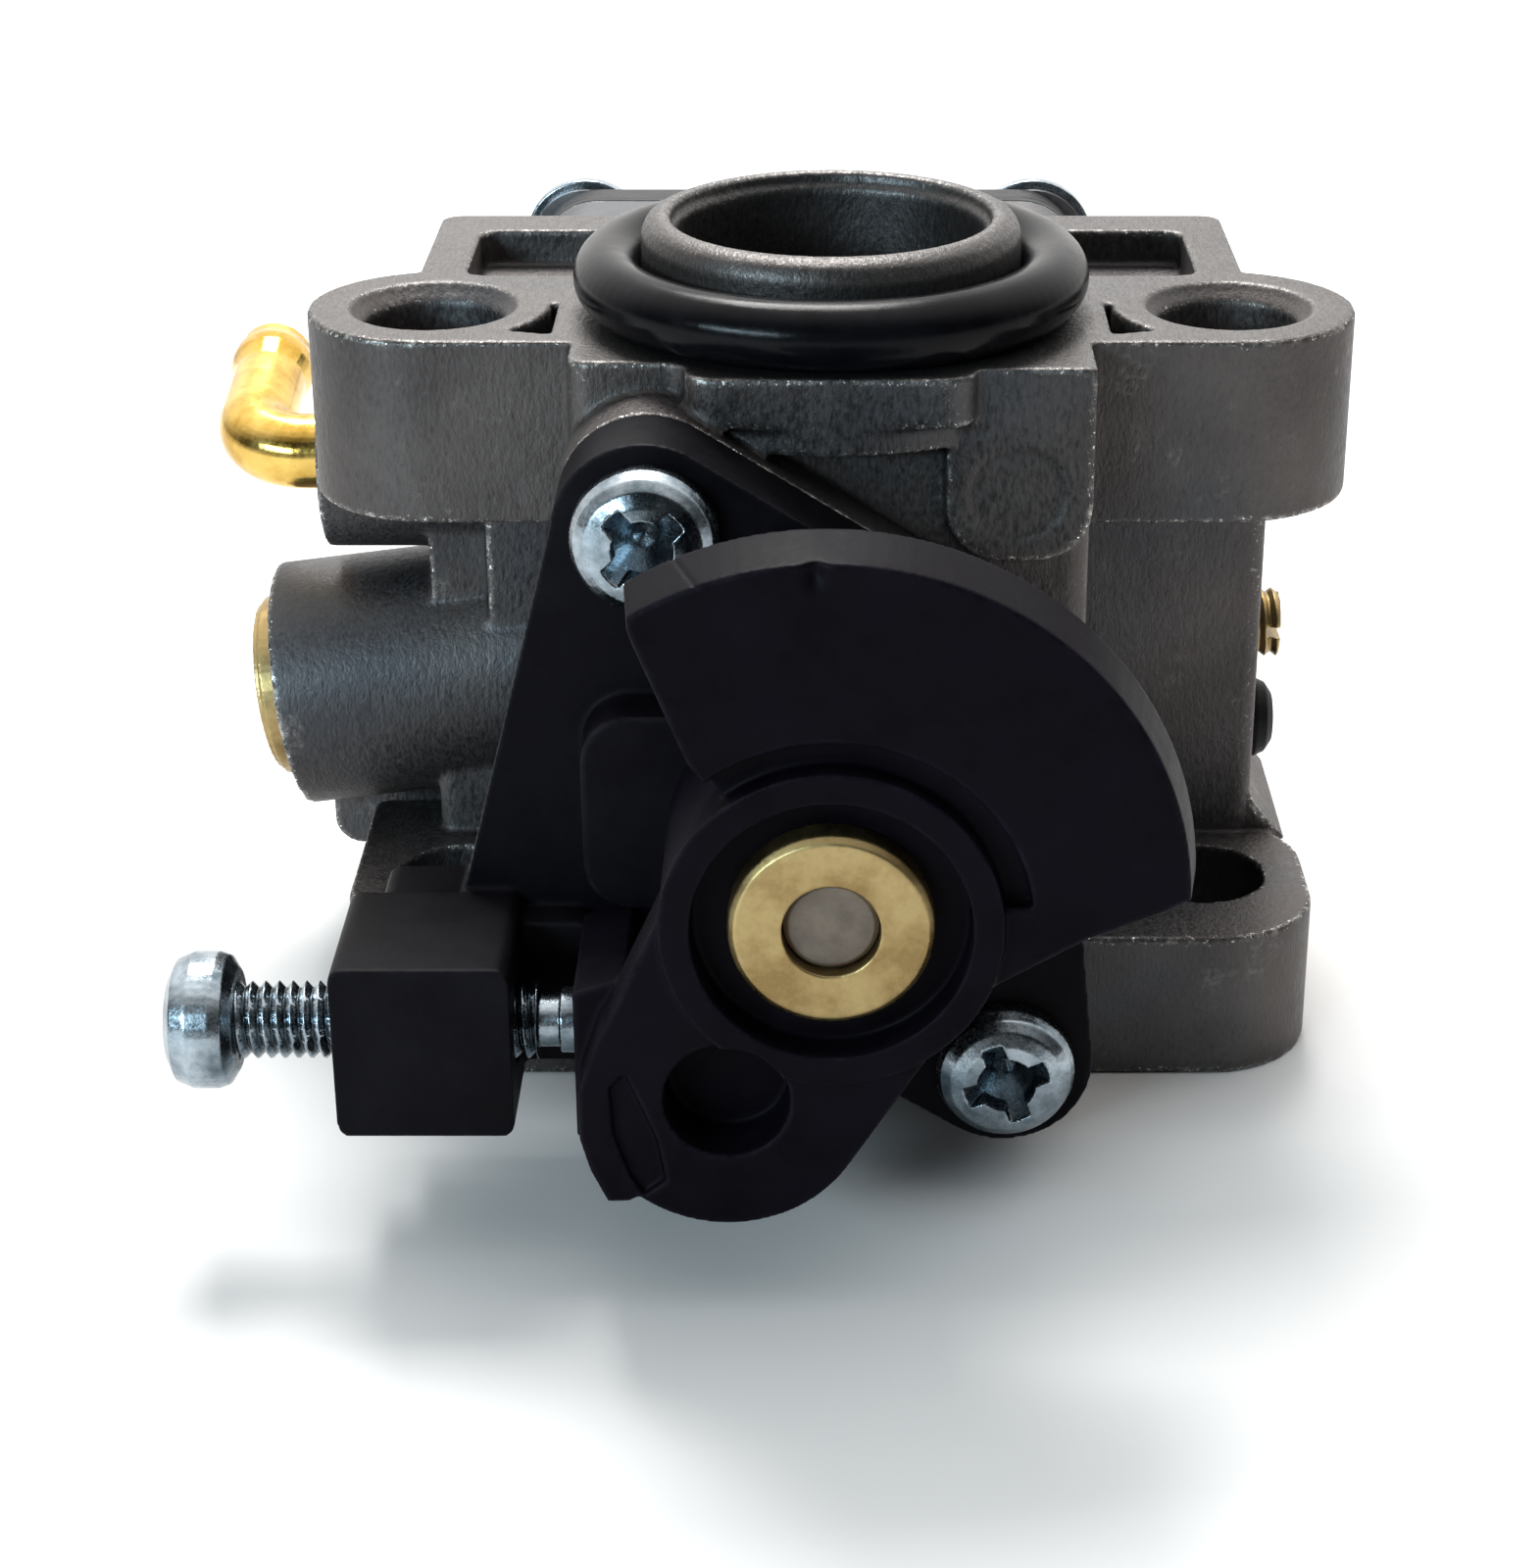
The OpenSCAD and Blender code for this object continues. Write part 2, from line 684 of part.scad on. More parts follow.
module needle_plug() {
    color("tan") at_barrel() turned_y(-22.1) difference() {
        polygon([[0, 0], [1.68, 0], [1.68, 0.75], [1.5, 0.9], [0, 0.9]]);
        translate([-5, -5]) square([5, 10]);
    }
}

// ---------- diaphragm stack ----------

module pump_gasket() {
    color("darkslategray") difference() {
        stack_layer(pump_gasket_y, 0.3);
        for (p = [[-9.6, inlet_z, 2.4], [3.6, 23, 3], [-3.4, 23, 3], [0, barrel_z, 2.2]])
            translate([p[0], 0, p[1]]) rod_y(0, 30, p[2]);
    }
}

module pump_diaphragm() {
    color("gray") difference() {
        stack_layer(pump_diaphragm_y, 0.2);
        translate([0, 0, barrel_z]) rod_y(0, 30, 1.8);
        // flap valves, cut on three sides
        for (x = [-9.6, -3.4]) translate([x, 0, 23]) {
            translate([-1.2, 0, -1.4]) cube([0.25, 30, 2.2]);
            translate([0.95, 0, -1.4]) cube([0.25, 30, 2.2]);
            translate([-1.2, 0, -1.6]) cube([2.4, 30, 0.25]);
        }
    }
}

module metering_body() {
    color("lightgray") difference() {
        stack_layer(metering_y, metering_t);
        // pump chambers and their channel
        for (p = [[-9.6, 22.2, 1.8], [3.6, 23, 3], [-3.4, 23, 2.4]])
            translate([p[0], 0, p[1]]) rod_y(metering_y - eps, metering_y + 1.2, p[2]);
        translate([-3.4, metering_y - eps, 22.6]) cube([7, eps + 0.8, 0.9]);
        // channel from the check valve to the main jet
        slab_y(metering_y - eps, metering_y + 1) {
            translate([0, barrel_z]) circle(1.6);
            translate([valve_x, barrel_z]) circle(1.6);
            translate([0, barrel_z - 1.6]) square([valve_x, 3.2]);
        }
        translate([valve_x, 0, barrel_z]) rod_y(metering_y, chamber_y + eps, 1.5 + fit);
        // metering chamber and the pocket of its lever
        translate([stack_x, 0, chamber_z]) rod_y(chamber_y, gasket_y + eps, chamber_r);
        translate([stack_x, 0, 0]) slab_y(pocket_y, chamber_y + eps)
            round_rect(-1.6, needle_z - 1.6, 1.6, tip_z + 0.8, 0.6);
        translate([stack_x, 0, needle_z]) {
            rod_y(metering_y + 0.6, gasket_y, 1);
            rod_y(metering_y - eps, metering_y + 1, 0.45);
        }
        translate([stack_x, 0, lever_pin_z + 2.4]) rod_y(pocket_y - 0.9, gasket_y, 1.1);
        translate([stack_x + 3.95, 0, lever_pin_z - 0.6]) rod_y(metering_y + 0.6, gasket_y, 0.7 + fit);
        // groove of the lever's pin
        translate([stack_x, lever_pin_y, lever_pin_z]) rod_x(-3.2, 3.2, lever_pin_r + fit);
    }
    // saddles under the pin
    color("lightgray") for (s = [-1, 1])
        translate([stack_x + s * 2.45, 0, lever_pin_z]) difference() {
            slab_y(chamber_y - 0.1, lever_pin_y) translate([-0.65, -1]) square([1.3, 2]);
            translate([0, lever_pin_y, 0]) rod_x(-2, 2, lever_pin_r + fit);
        }
}

module check_valve() {
    color("gold") translate([valve_x, 0, barrel_z]) difference() {
        union() {
            rod_y(metering_y + 1.05, chamber_y + eps, 1.5);
            rod_y(chamber_y + 0.02, chamber_y + 0.5, 2);
        }
        rod_y(metering_y, chamber_y, 0.7);
        for (a = [0 : 90 : 270])
            rotate([0, a, 0]) translate([1, 0, 0]) rod_y(metering_y, gasket_y, 0.25);
    }
}

module metering_lever_pin() {
    color("silver") translate([stack_x, lever_pin_y, lever_pin_z]) rod_x(-3.1, 3.1, lever_pin_r);
}

module pin_screw() {
    color("silver") translate([stack_x + 3.95, lever_pin_y + lever_pin_r + 0.02, lever_pin_z - 0.6])
        difference() {
            union() {
                rod_y(0, 0.6, 1.4);
                rod_y(-2.6, 0.3, 0.7);
            }
            translate([-1.5, 0.35, -0.18]) cube([3, 1, 0.36]);
        }
}

module metering_lever() {
    half_t = 0.25;
    color("silver") translate([stack_x, lever_pin_y, 0]) difference() {
        union() {
            translate([0, 0, lever_pin_z]) rod_x(-1.4, 1.4, 0.9);
            // long arm and the dimple under the diaphragm
            translate([-1, -half_t, lever_pin_z]) cube([2, 2 * half_t, 4.9]);
            translate([0, 0, tip_z]) rod_y(0, gasket_y - 0.25 - lever_pin_y, 0.6);
            // fork around the neck of the inlet needle
            translate([-1, -half_t, needle_z - 0.9]) cube([2, 2 * half_t, 3]);
        }
        translate([0, 0, lever_pin_z]) rod_x(-3, 3, lever_pin_r + run);
        translate([-0.55, -1, needle_z - 1.5]) cube([1.1, 2, 2.2]);
    }
}

module metering_spring() {
    wire = 0.18;
    y0 = pocket_y - 0.9 + wire + 0.02;
    y1 = lever_pin_y - 0.25 - wire - 0.02;
    turns = 4;
    color("gray") translate([stack_x, y1, lever_pin_z + 2.4]) rotate([90, 0, 0])
        coil(0.72, wire, turns, (y1 - y0) / turns, 16, 6);
}

module inlet_needle() {
    neck_y = lever_pin_y - 0.45;
    color("silver") translate([stack_x, 0, needle_z]) {
        rod_y(metering_y + 1.1, neck_y, 0.95);
        rod_y(neck_y - eps, neck_y + 1.1, 0.45);
        rod_y(neck_y + 0.95, neck_y + 1.35, 0.75);
        turned_y(metering_y + 1.1) polygon([[0, 0], [0.95, 0], [0.35, 0.45], [0, 0.45]]);
    }
}

module metering_gasket() {
    color("darkslategray") difference() {
        stack_layer(gasket_y, 0.3);
        translate([stack_x, 0, chamber_z]) rod_y(0, 30, chamber_r);
    }
}

module metering_diaphragm() {
    color("#303030") difference() {
        stack_layer(membrane_y, 0.2);
        translate([stack_x, 0, chamber_z]) rod_y(0, 30, 1);
    }
}

module diaphragm_button() {
    color("silver") translate([stack_x, 0, chamber_z]) {
        rod_y(membrane_y - 0.5, membrane_y - 0.01, 3.2);
        rod_y(membrane_y + 0.21, membrane_y + 0.6, 3.2);
        rod_y(membrane_y - 0.1, membrane_y + 0.3, 0.9);
    }
}

module metering_cover() {
    color("#2a2a2e") difference() {
        stack_layer(back_cover_y, back_cover_t);
        translate([stack_x, 0, chamber_z]) rod_y(0, back_cover_y + 0.9, chamber_r);
        translate([stack_x, 0, chamber_z]) rod_y(0, 30, 0.8);
    }
}

module metering_cover_screws() {
    color("lightsteelblue") at_stack_screws() translate([0, back_y + washer_t, 0])
        rotate([0, 0, 180]) difference() {
            union() {
                rotate([90, 0, 0]) rotate_extrude()
                    polygon([[0, 0], [back_head_r, 0], [back_head_r, 0.6], [2.4, 1.2],
                             [1.6, 1.55], [0, 1.7]]);
                rod_y(-eps, 12.8, 1.3);
            }
            for (a = [0, 90])
                rotate([0, a, 0]) translate([-1.4, -3, -0.28]) cube([2.8, 2, 0.56]);
        }
}

module lock_washers() {
    color("silver") at_stack_screws() difference() {
        rod_y(back_y, back_y + washer_t, 2.4);
        rod_y(0, 30, 1.45);
        translate([0, 0, -0.15]) cube([4, 40, 0.3]);
    }
}

body_casting();
intake_o_ring();
main_nozzle();
main_jet();
fuel_inlet_elbow();
inlet_screen();
boss_plug();
passage_plug();
rubber_cap();
throttle_cover();
throttle_cover_screws();
dust_seal();
idle_speed_screw();
thrust_washer();
return_spring();
throttle_barrel();
throttle_lever();
needle_sleeve();
metering_needle();
needle_spring();
needle_plug();
pump_gasket();
pump_diaphragm();
metering_body();
check_valve();
metering_lever_pin();
pin_screw();
metering_lever();
metering_spring();
inlet_needle();
metering_gasket();
metering_diaphragm();
diaphragm_button();
metering_cover();
metering_cover_screws();
lock_washers();
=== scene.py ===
"""Looks of the rotary-barrel carburetor: finishes, fine shapes, floor, lights and camera.

Shapes are made in millimetres in the row frame, and scaled to metres when they are finished.
"""

import json
import math

import bpy
import numpy as np
from mathutils import Matrix, Vector, kdtree


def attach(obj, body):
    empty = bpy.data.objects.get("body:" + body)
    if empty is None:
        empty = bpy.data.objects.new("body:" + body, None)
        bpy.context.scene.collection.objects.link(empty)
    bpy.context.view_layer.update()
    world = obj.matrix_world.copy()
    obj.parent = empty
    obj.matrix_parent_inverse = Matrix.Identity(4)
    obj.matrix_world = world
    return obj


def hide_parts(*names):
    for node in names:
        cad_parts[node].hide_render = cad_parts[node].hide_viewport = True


MM = 0.001

# places on the part, in millimetres
IDLE_SCREW_AXIS = (-17.3, 8.8)  # y and z
SIDE_PLUG_AXIS = (8.5, 14.3)  # y and z
SECTOR_CENTRE = (-0.15, 16.53)  # x and z of the lever's cable sector
LEVER_FRONT_Y = -23.3
BODY_TOP_Z = 31.0

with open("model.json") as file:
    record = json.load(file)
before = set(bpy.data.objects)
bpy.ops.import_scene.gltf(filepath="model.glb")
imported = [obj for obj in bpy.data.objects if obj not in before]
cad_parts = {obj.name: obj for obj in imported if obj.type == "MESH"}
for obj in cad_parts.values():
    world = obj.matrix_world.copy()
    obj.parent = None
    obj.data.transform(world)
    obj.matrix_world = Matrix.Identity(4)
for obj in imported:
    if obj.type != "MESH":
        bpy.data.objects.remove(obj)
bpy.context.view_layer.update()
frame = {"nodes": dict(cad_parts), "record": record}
NODES = frame["nodes"]
BODY_OF = {n: b for b, names in frame["record"]["behaviour"]["bodies"].items() for n in names}


# ---------- shapes ----------


def link(obj):
    bpy.context.scene.collection.objects.link(obj)
    return obj


def bake(obj):
    """Applies the modifiers of an object to its mesh."""
    graph = bpy.context.evaluated_depsgraph_get()
    mesh = bpy.data.meshes.new_from_object(obj.evaluated_get(graph))
    old = obj.data
    obj.modifiers.clear()
    obj.data = mesh
    bpy.data.meshes.remove(old)


def points_of(mesh):
    co = np.empty(len(mesh.vertices) * 3)
    mesh.vertices.foreach_get("co", co)
    return co.reshape(-1, 3)


def curvature(mesh, rounds):
    """How far each vertex stands out of its neighbours, averaged: above 0 on an outer edge."""
    p = points_of(mesh)
    n = np.empty(len(p) * 3)
    mesh.vertex_normals.foreach_get("vector", n)
    n = n.reshape(-1, 3)
    e = np.empty(len(mesh.edges) * 2, np.int64)
    mesh.edges.foreach_get("vertices", e)
    a, b = e.reshape(-1, 2).T
    ends, others = np.concatenate([a, b]), np.concatenate([b, a])
    count = np.bincount(ends, minlength=len(p))

    def mean(values):
        return np.bincount(ends, weights=values[others], minlength=len(p)) / np.maximum(count, 1)

    spread = np.stack([mean(p[:, k]) for k in range(3)], 1) - p
    length = np.linalg.norm(p[a] - p[b], axis=1).mean()
    out = -(spread * n).sum(1) / length**2
    for _ in range(rounds):
        out = 0.5 * out + 0.5 * mean(out)
    return out


def set_edge(mesh, values):
    layer = mesh.attributes.get("edge") or mesh.attributes.new("edge", "FLOAT", "POINT")
    layer.data.foreach_set("value", np.asarray(values, np.float32))


def finish_piece(obj, node, mat):
    """Scales a finished piece to metres, gives it its finish, parents it to the node's body and
    hides the node.
    """
    obj.data.transform(Matrix.Scale(MM, 4))
    obj.data.materials.clear()
    obj.data.materials.append(mat)
    obj.data.polygons.foreach_set("use_smooth", np.ones(len(obj.data.polygons), bool))
    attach(obj, BODY_OF[node])
    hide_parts(node)


def skin(node, mat, slot, voxel, rounds, triangles, blur=2, shape=None):
    """The CAD node's own shape with softly rounded edges, and its edges marked for wear, for
    painted shade in inner corners and for painted glints.

    voxel is the remesh size in mm, rounds the smoothing steps, triangles the most that are left,
    and blur the averaging steps of the edge mark. shape, if given, moves the dense points (in mm)
    before they are thinned out.
    """
    mesh = NODES[node].data.copy()
    mesh.transform(Matrix.Scale(1 / MM, 4))
    mesh.materials.clear()
    obj = link(bpy.data.objects.new(node + "_skin", mesh))
    voxels = obj.modifiers.new("voxels", "REMESH")
    voxels.mode = "VOXEL"
    voxels.voxel_size = voxel
    voxels.adaptivity = 0
    soft = obj.modifiers.new("soft", "SMOOTH")
    soft.factor = 0.5
    soft.iterations = rounds
    bake(obj)
    dense = points_of(obj.data)
    if shape:
        shape(dense)
        obj.data.vertices.foreach_set("co", dense.ravel())
        obj.data.update()
    edge = curvature(obj.data, blur)
    tree = kdtree.KDTree(len(dense))
    for i, q in enumerate(dense):
        tree.insert(q, i)
    tree.balance()
    fewer = obj.modifiers.new("fewer", "DECIMATE")
    fewer.ratio = min(1.0, triangles / (2 * len(obj.data.polygons)))
    bake(obj)
    nearest = [tree.find(q)[1] for q in points_of(obj.data)]
    set_edge(obj.data, edge[nearest])
    finish_piece(obj, node, mat)


# ---------- finishes ----------


class Finish:
    """A procedural material around one Principled shader, in object coordinates."""

    def __init__(self, name, **values):
        self.mat = bpy.data.materials.new(name)
        self.mat.use_nodes = True
        self.tree = self.mat.node_tree
        self.tree.nodes.clear()
        out = self.add("ShaderNodeOutputMaterial")
        self.shader = self.add("ShaderNodeBsdfPrincipled")
        self.tree.links.new(self.shader.outputs[0], out.inputs[0])
        for key, value in values.items():
            self.put(self.shader.inputs[key.replace("_", " ")], value)
        self.coords = self.add("ShaderNodeTexCoord").outputs["Object"]

    def add(self, kind, **props):
        node = self.tree.nodes.new(kind)
        for key, value in props.items():
            setattr(node, key, value)
        return node

    def put(self, socket, value):
        if isinstance(value, bpy.types.NodeSocket):
            self.tree.links.new(value, socket)
        elif isinstance(value, tuple) and len(value) == 3 and socket.type == "RGBA":
            socket.default_value = (*value, 1)
        else:
            socket.default_value = value

    def set(self, **values):
        for key, value in values.items():
            self.put(self.shader.inputs[key.replace("_", " ")], value)

    def noise(self, size, detail=2.0, rough=0.5, stretch=(1, 1, 1), shift=0.0):
        """Noise with features of about that size in millimetres."""
        place = self.add("ShaderNodeMapping")
        self.put(place.inputs["Vector"], self.coords)
        self.put(place.inputs["Location"], (shift, shift * 0.7, -shift))
        self.put(place.inputs["Scale"], tuple(1 / (MM * size * s) for s in stretch))
        tex = self.add("ShaderNodeTexNoise")
        self.put(tex.inputs["Vector"], place.outputs[0])
        self.put(tex.inputs["Scale"], 1.0)
        self.put(tex.inputs["Detail"], detail)
        self.put(tex.inputs["Roughness"], rough)
        return tex.outputs[0]

    def span(self, value, low, high, to_low=0.0, to_high=1.0):
        node = self.add("ShaderNodeMapRange")
        for socket, v in zip(node.inputs, (value, low, high, to_low, to_high)):
            self.put(socket, v)
        return node.outputs[0]

    def math(self, how, a, b=0.0, clamp=False):
        node = self.add("ShaderNodeMath", operation=how, use_clamp=clamp)
        self.put(node.inputs[0], a)
        self.put(node.inputs[1], b)
        return node.outputs[0]

    def mix(self, factor, a, b, how="MIX"):
        node = self.add("ShaderNodeMix", data_type="RGBA", blend_type=how)
        self.put(node.inputs[0], factor)
        self.put(node.inputs[6], a)
        self.put(node.inputs[7], b)
        return node.outputs[2]

    def edge(self, low, high):
        """0 to 1 where the shape's outer edges (or, with low above high, inner ones) are."""
        node = self.add("ShaderNodeAttribute", attribute_name="edge")
        return self.span(node.outputs["Fac"], low, high)

    def bump(self, height, depth, strength=1.0, under=None):
        """Relief of that depth in millimetres."""
        node = self.add("ShaderNodeBump")
        self.put(node.inputs["Strength"], strength)
        self.put(node.inputs["Distance"], depth * MM)
        self.put(node.inputs["Height"], height)
        if under is not None:
            self.put(node.inputs["Normal"], under)
        return node.outputs[0]


def cast_metal(name, dark, light, edge_light, top=None):
    """Die-cast alloy: fine grain, cloudy tone, painted shade in inner corners, rubbed bright edges
    and painted white glints on the edges.

    top is the height in millimetres above which the faces are machined.
    """
    f = Finish(name, Metallic=0.9)
    cloud = f.noise(7, 3, 0.6)
    grain = f.noise(0.15, 2, 0.6, stretch=(1, 1, 2.4))
    pits = f.noise(0.36, 3, 0.65, stretch=(1, 1, 1.6), shift=3.0)
    tone = f.math("ADD", f.math("MULTIPLY", cloud, 0.5), f.math("MULTIPLY", grain, 0.5))
    colour = f.mix(f.span(tone, 0.36, 0.64), dark, light)
    tint = f.span(f.noise(11, 2, 0.5, shift=7.0), 0.42, 0.6)
    tints = f.mix(tint, (0.9, 0.97, 1.08), (1.06, 0.98, 0.95))
    colour = f.mix(0.6, colour, tints, "MULTIPLY")
    # pale dust and scuffs
    dust = f.math("MULTIPLY", f.span(f.noise(3.2, 4, 0.7, shift=5.0), 0.58, 0.72),
                  f.span(f.noise(0.28, 3, 0.7, shift=9.0), 0.42, 0.62))
    colour = f.mix(f.math("MULTIPLY", dust, 0.65), colour, tuple(1.9 * c for c in light))
    rubbed = f.math("MULTIPLY", f.edge(0.25, 0.95), f.span(f.noise(0.5, 5, 0.8), 0.48, 0.64))
    # painted highlight: near-white glints scattered along the outer edges
    painted_glint = f.math("MULTIPLY", f.edge(0.15, 0.6),
                   f.span(f.noise(0.17, 2, 0.8, shift=1.5), 0.62, 0.67))
    # painted shade: the colour goes darker in inner corners and creases, where shade falls
    colour = f.mix(f.edge(-0.12, -1.0), colour, tuple(0.35 * c for c in dark))
    colour = f.mix(rubbed, colour, edge_light)
    colour = f.mix(painted_glint, colour, (0.98, 0.98, 0.95))
    roughness = f.span(grain, 0.35, 0.65, 0.42, 0.62)
    if top is not None:
        place = f.add("ShaderNodeSeparateXYZ")
        f.put(place.inputs[0], f.coords)
        milled = f.span(place.outputs[2], (top - 0.12) * MM, (top - 0.04) * MM)
        lines = f.noise(0.09, 2, 0.6, stretch=(0.8, 5, 1), shift=6.0)
        flat = f.mix(f.span(lines, 0.35, 0.65), tuple(0.42 * c for c in light),
                     tuple(0.66 * c for c in light))
        colour = f.mix(f.math("MULTIPLY", milled, 0.75), colour, flat)
        polish = f.math("MULTIPLY", milled, f.span(lines, 0.3, 0.7))
        roughness = f.span(polish, 0, 1, roughness, 0.36)
    f.set(Base_Color=colour, Roughness=f.span(rubbed, 0, 1, roughness, 0.3))
    relief = f.bump(grain, 0.04, 0.6)
    f.set(Normal=f.bump(pits, 0.07, 0.55, relief))
    return f.mat


def machined_metal(name, dark, light, rough=0.3, ring=(1, 0.1, 1)):
    """Turned or drawn metal with fine lines."""
    f = Finish(name, Metallic=1.0)
    lines = f.noise(0.12, 2, 0.6, stretch=ring)
    stain = f.noise(3.5, 3, 0.6, shift=2.0)
    f.set(Base_Color=f.mix(f.span(stain, 0.35, 0.65), dark, light))
    f.set(Roughness=f.span(lines, 0.3, 0.7, rough * 0.75, rough * 1.4))
    f.set(Normal=f.bump(lines, 0.008, 0.6))
    return f.mat


def moulded_plastic(name, colour, bloom_colour, shine=0.42, gloss=0.05):
    """Black glass-filled plastic: satin, with a faint bloom and paler rubbed edges."""
    f = Finish(name, Specular_IOR_Level=gloss)
    bloom = f.span(f.noise(5, 4, 0.65), 0.4, 0.66)
    grain = f.noise(0.22, 3, 0.6)
    fibres = f.noise(0.5, 3, 0.7, stretch=(1, 1, 2), shift=2.0)
    base = f.mix(bloom, colour, bloom_colour)
    base = f.mix(f.math("MULTIPLY", f.span(fibres, 0.55, 0.75), 0.35), base, bloom_colour)
    rubbed = f.math("MULTIPLY", f.edge(0.3, 1.3),
                    f.span(f.noise(1.1, 5, 0.8, shift=4.0), 0.4, 0.62))
    base = f.mix(f.math("MULTIPLY", rubbed, 0.4), base, tuple(3 * c + 0.002 for c in bloom_colour))
    uneven = f.math("ADD", grain, bloom)
    f.set(Base_Color=base, Roughness=f.span(uneven, 0.4, 1.5, shine, shine + 0.14))
    f.set(Normal=f.bump(fibres, 0.02, 0.4, f.bump(grain, 0.012, 0.5)))
    return f.mat


def plated_steel(name, dark, light, rough=0.2):
    """Zinc plate: bright, slightly bluish, cloudy, with handling marks and painted shade in its
    hollows.
    """
    f = Finish(name, Metallic=1.0)
    cloud = f.noise(1.6, 4, 0.65)
    fine = f.noise(0.1, 2, 0.6, shift=4.0)
    colour = f.mix(f.span(cloud, 0.35, 0.65), dark, light)
    # painted shade: the colour goes darker in hollows and inner corners, where shade falls
    colour = f.mix(f.edge(-0.3, -2.0), colour, tuple(0.35 * c for c in dark))
    f.set(Base_Color=colour)
    f.set(Roughness=f.span(f.math("ADD", cloud, fine), 0.7, 1.3, rough, rough + 0.2))
    f.set(Normal=f.bump(fine, 0.01, 0.5))
    return f.mat


def brass(name, dark, light, rough, spots=0.0):
    """Brass with stains; spots adds roughness where it is stained."""
    f = Finish(name, Metallic=1.0)
    stain = f.noise(1.9, 4, 0.65, shift=1.0)
    fine = f.noise(0.11, 2, 0.6)
    colour = f.mix(f.span(stain, 0.36, 0.62), dark, light)
    f.set(Base_Color=colour)
    f.set(Roughness=f.span(f.math("ADD", stain, fine), 0.7, 1.3, rough, rough + 0.12 + spots))
    f.set(Normal=f.bump(fine, 0.006, 0.5))
    return f.mat


def rubber(name, colour, rough):
    """Dark rubber with smears of changing gloss."""
    f = Finish(name, Specular_IOR_Level=0.1)
    smear = f.noise(2.4, 3, 0.6)
    fine = f.noise(0.15, 2, 0.6)
    f.set(Base_Color=f.mix(f.span(smear, 0.4, 0.65), colour, tuple(1.8 * c for c in colour)))
    f.set(Roughness=f.span(smear, 0.3, 0.7, rough, rough + 0.14))
    f.set(Normal=f.bump(fine, 0.008, 0.4))
    return f.mat


def fibre_sheet(name, dark, light):
    """Gasket paper or coated cloth with long fibres."""
    f = Finish(name, Roughness=0.8)
    fibres = f.noise(0.25, 4, 0.75, stretch=(2.5, 1, 1))
    f.set(Base_Color=f.mix(f.span(fibres, 0.35, 0.65), dark, light))
    f.set(Normal=f.bump(fibres, 0.03, 0.6))
    return f.mat


def frosted_plug(name):
    """Cloudy grey-brown plastic that lets a little light in."""
    f = Finish(name, Specular_IOR_Level=0.5, Subsurface_Weight=0.3)
    f.shader.inputs["Subsurface Scale"].default_value = 0.4 * MM
    cloud = f.span(f.noise(0.8, 3, 0.6), 0.35, 0.65)
    f.set(Base_Color=f.mix(cloud, (0.1, 0.071, 0.052), (0.155, 0.116, 0.085)))
    f.set(Roughness=f.span(cloud, 0, 1, 0.35, 0.5))
    f.set(Normal=f.bump(f.noise(0.2, 2), 0.01, 0.4))
    return f.mat


CAST = cast_metal("cast_alloy", (0.056, 0.053, 0.0535), (0.116, 0.11, 0.107),
                  (0.48, 0.47, 0.44), BODY_TOP_Z)
STACK_CAST = cast_metal("cast_alloy_stack", (0.06, 0.06, 0.062), (0.12, 0.12, 0.12),
                        (0.45, 0.45, 0.43))
BORE = machined_metal("machined_alloy", (0.12, 0.12, 0.12), (0.22, 0.22, 0.22))
PLASTIC = moulded_plastic("black_nylon", (0.002, 0.0015, 0.003), (0.0042, 0.0032, 0.006),
                          gloss=0.04)
PLASTIC_COVER = moulded_plastic("black_nylon_cover", (0.0027, 0.0023, 0.0036),
                                (0.006, 0.0054, 0.0074), 0.44)
ZINC = plated_steel("zinc_plate", (0.12, 0.155, 0.18), (0.42, 0.48, 0.53), 0.15)
STEEL = plated_steel("plain_steel", (0.25, 0.25, 0.26), (0.42, 0.42, 0.42), 0.28)
POLISHED_BRASS = brass("polished_brass", (0.5, 0.3, 0.05), (0.76, 0.51, 0.14), 0.12)
SATIN_BRASS = brass("satin_brass", (0.25, 0.17, 0.07), (0.42, 0.315, 0.145), 0.26, 0.1)
RUBBER = rubber("nitrile_rubber", (0.0022, 0.0022, 0.003), 0.16)
DULL_RUBBER = rubber("dull_rubber", (0.006, 0.006, 0.007), 0.4)
GASKET = fibre_sheet("gasket_fibre", (0.012, 0.016, 0.016), (0.035, 0.042, 0.04))
MEMBRANE = fibre_sheet("coated_cloth", (0.008, 0.008, 0.008), (0.022, 0.022, 0.022))
BACK_PLATE = plated_steel("black_plate", (0.016, 0.016, 0.018), (0.023, 0.023, 0.026), 0.38)
PLUG = frosted_plug("frosted_plug")

# ---------- fine shapes, in millimetres ----------


def thread(points, origin, pitch, depth, low, high, crest):
    """Cuts a thread along X, from low to high, into the points on a shank of radius crest."""
    y, z = points[:, 1] - origin[0], points[:, 2] - origin[1]
    radius = np.hypot(y, z)
    on = (radius > 0.9 * crest) & (radius < 1.04 * crest)
    on &= (points[:, 0] > low) & (points[:, 0] < high)
    phase = (points[:, 0] / pitch - np.arctan2(z, y) / (2 * np.pi)) % 1
    scale = np.where(on, 1 - depth / crest * (1 - np.abs(2 * phase - 1)), 1)
    points[:, 1] = origin[0] + y * scale
    points[:, 2] = origin[1] + z * scale


def idle_screw_shape(points):
    thread(points, IDLE_SCREW_AXIS, 0.5, 0.27, -22.0, -10.85, 1.45)


def passage_plug_shape(points):
    thread(points, SIDE_PLUG_AXIS, 0.5, 0.2, 18.15, 20.0, 1.5)


